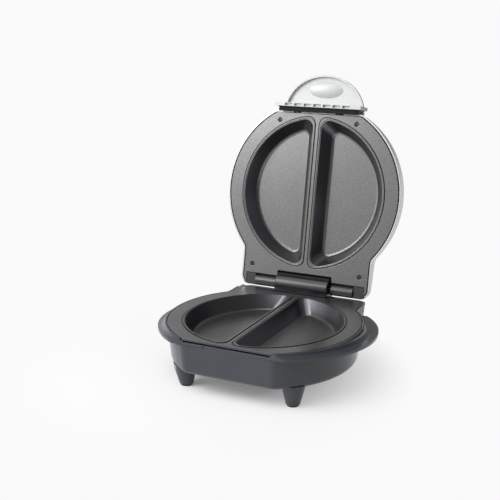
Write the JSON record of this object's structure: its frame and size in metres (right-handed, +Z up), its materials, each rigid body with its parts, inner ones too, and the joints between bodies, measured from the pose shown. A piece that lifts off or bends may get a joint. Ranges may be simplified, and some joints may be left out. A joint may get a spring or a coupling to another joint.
{
  "type": "electric omelette maker",
  "caption": "Countertop electric omelette maker with a hinged clamshell lid, facing half-moon cooking pans, side grips, legs and a handle latch.",
  "frame": {"origin": "on the supporting surface, under the middle of the appliance with its lid open", "axes": "+Z up, front towards -Y, +X to the right of someone facing the front"},
  "size_m": [0.229, 0.2519, 0.2975],
  "materials": {
    "housing_plastic": "satin dark grey moulding",
    "bottom_plastic": "matt black moulding",
    "gland_rubber": "matt black",
    "foot_rubber": "matt black",
    "nonstick_plate": "matt speckled non-stick coating on a die-cast plate",
    "lid_silver": "silver lacquer over a smooth moulding, satin gloss",
    "frame_plastic": "dark grey heat-proof moulding",
    "hinge_plastic": "satin gloss, dark grey",
    "handle_silver": "pale silver lacquer, satin gloss",
    "hook_steel": "black coated steel",
    "pin_steel": "ground bright",
    "element_steel": "dull tube",
    "ceramic": "glazed white ceramic",
    "shield_steel": "bright sheet",
    "screw_steel": "plated",
    "fuse_brass": "tinned",
    "red_lens": "clear red",
    "green_lens": "clear green",
    "lamp_glass": "clear"
  },
  "bodies": {
    "base": {"base_housing": "housing_plastic", "bottom_cover": "bottom_plastic", "bottom_cover_screws": "screw_steel", "foot_pads": "foot_rubber", "lower_cooking_plate": "nonstick_plate", "lower_plate_screws": "screw_steel", "lower_heating_element": "element_steel", "lower_element_terminals": "ceramic", "lower_element_clamps": "shield_steel", "lower_clamp_screws": "screw_steel", "lower_heat_shield": "shield_steel", "lower_shield_screws": "screw_steel", "thermostat": "ceramic", "thermostat_bracket": "shield_steel", "thermostat_screws": "screw_steel", "thermal_fuse": "fuse_brass", "thermal_fuse_clip": "shield_steel", "thermal_fuse_screw": "screw_steel", "terminal_block": "ceramic", "terminal_block_screw": "screw_steel", "cord_gland": "gland_rubber", "hinge_block": "hinge_plastic", "hinge_block_screws": "screw_steel", "hinge_pin": "pin_steel"},
    "lid": {"lid_cover": "lid_silver", "lid_inner_frame": "frame_plastic", "lid_frame_screws": "screw_steel", "upper_cooking_plate": "nonstick_plate", "upper_plate_screws": "screw_steel", "upper_heating_element": "element_steel", "upper_element_terminals": "ceramic", "upper_element_clamps": "shield_steel", "upper_clamp_screws": "screw_steel", "upper_heat_shield": "shield_steel", "upper_shield_screws": "screw_steel", "power_lamp_lens": "red_lens", "ready_lamp_lens": "green_lens", "neon_lamps": "lamp_glass", "lamp_holder": "bottom_plastic", "latch_pin": "pin_steel"},
    "latch": {"latch_handle": "handle_silver", "latch_hook": "hook_steel", "latch_hook_screws": "screw_steel"}
  },
  "joints": [
    {"name": "lid_hinge", "type": "hinge", "parent": "base", "child": "lid", "pos_m": [0, 0.0675, 0.0664], "axis": [1, 0, 0], "range_deg": [0, 100.84]},
    {"name": "latch_pivot", "type": "hinge", "parent": "lid", "child": "latch", "pos_m": [0, 0.11106, 0.25828], "axis": [1, 0, 0], "range_deg": [0, 10]}
  ]
}
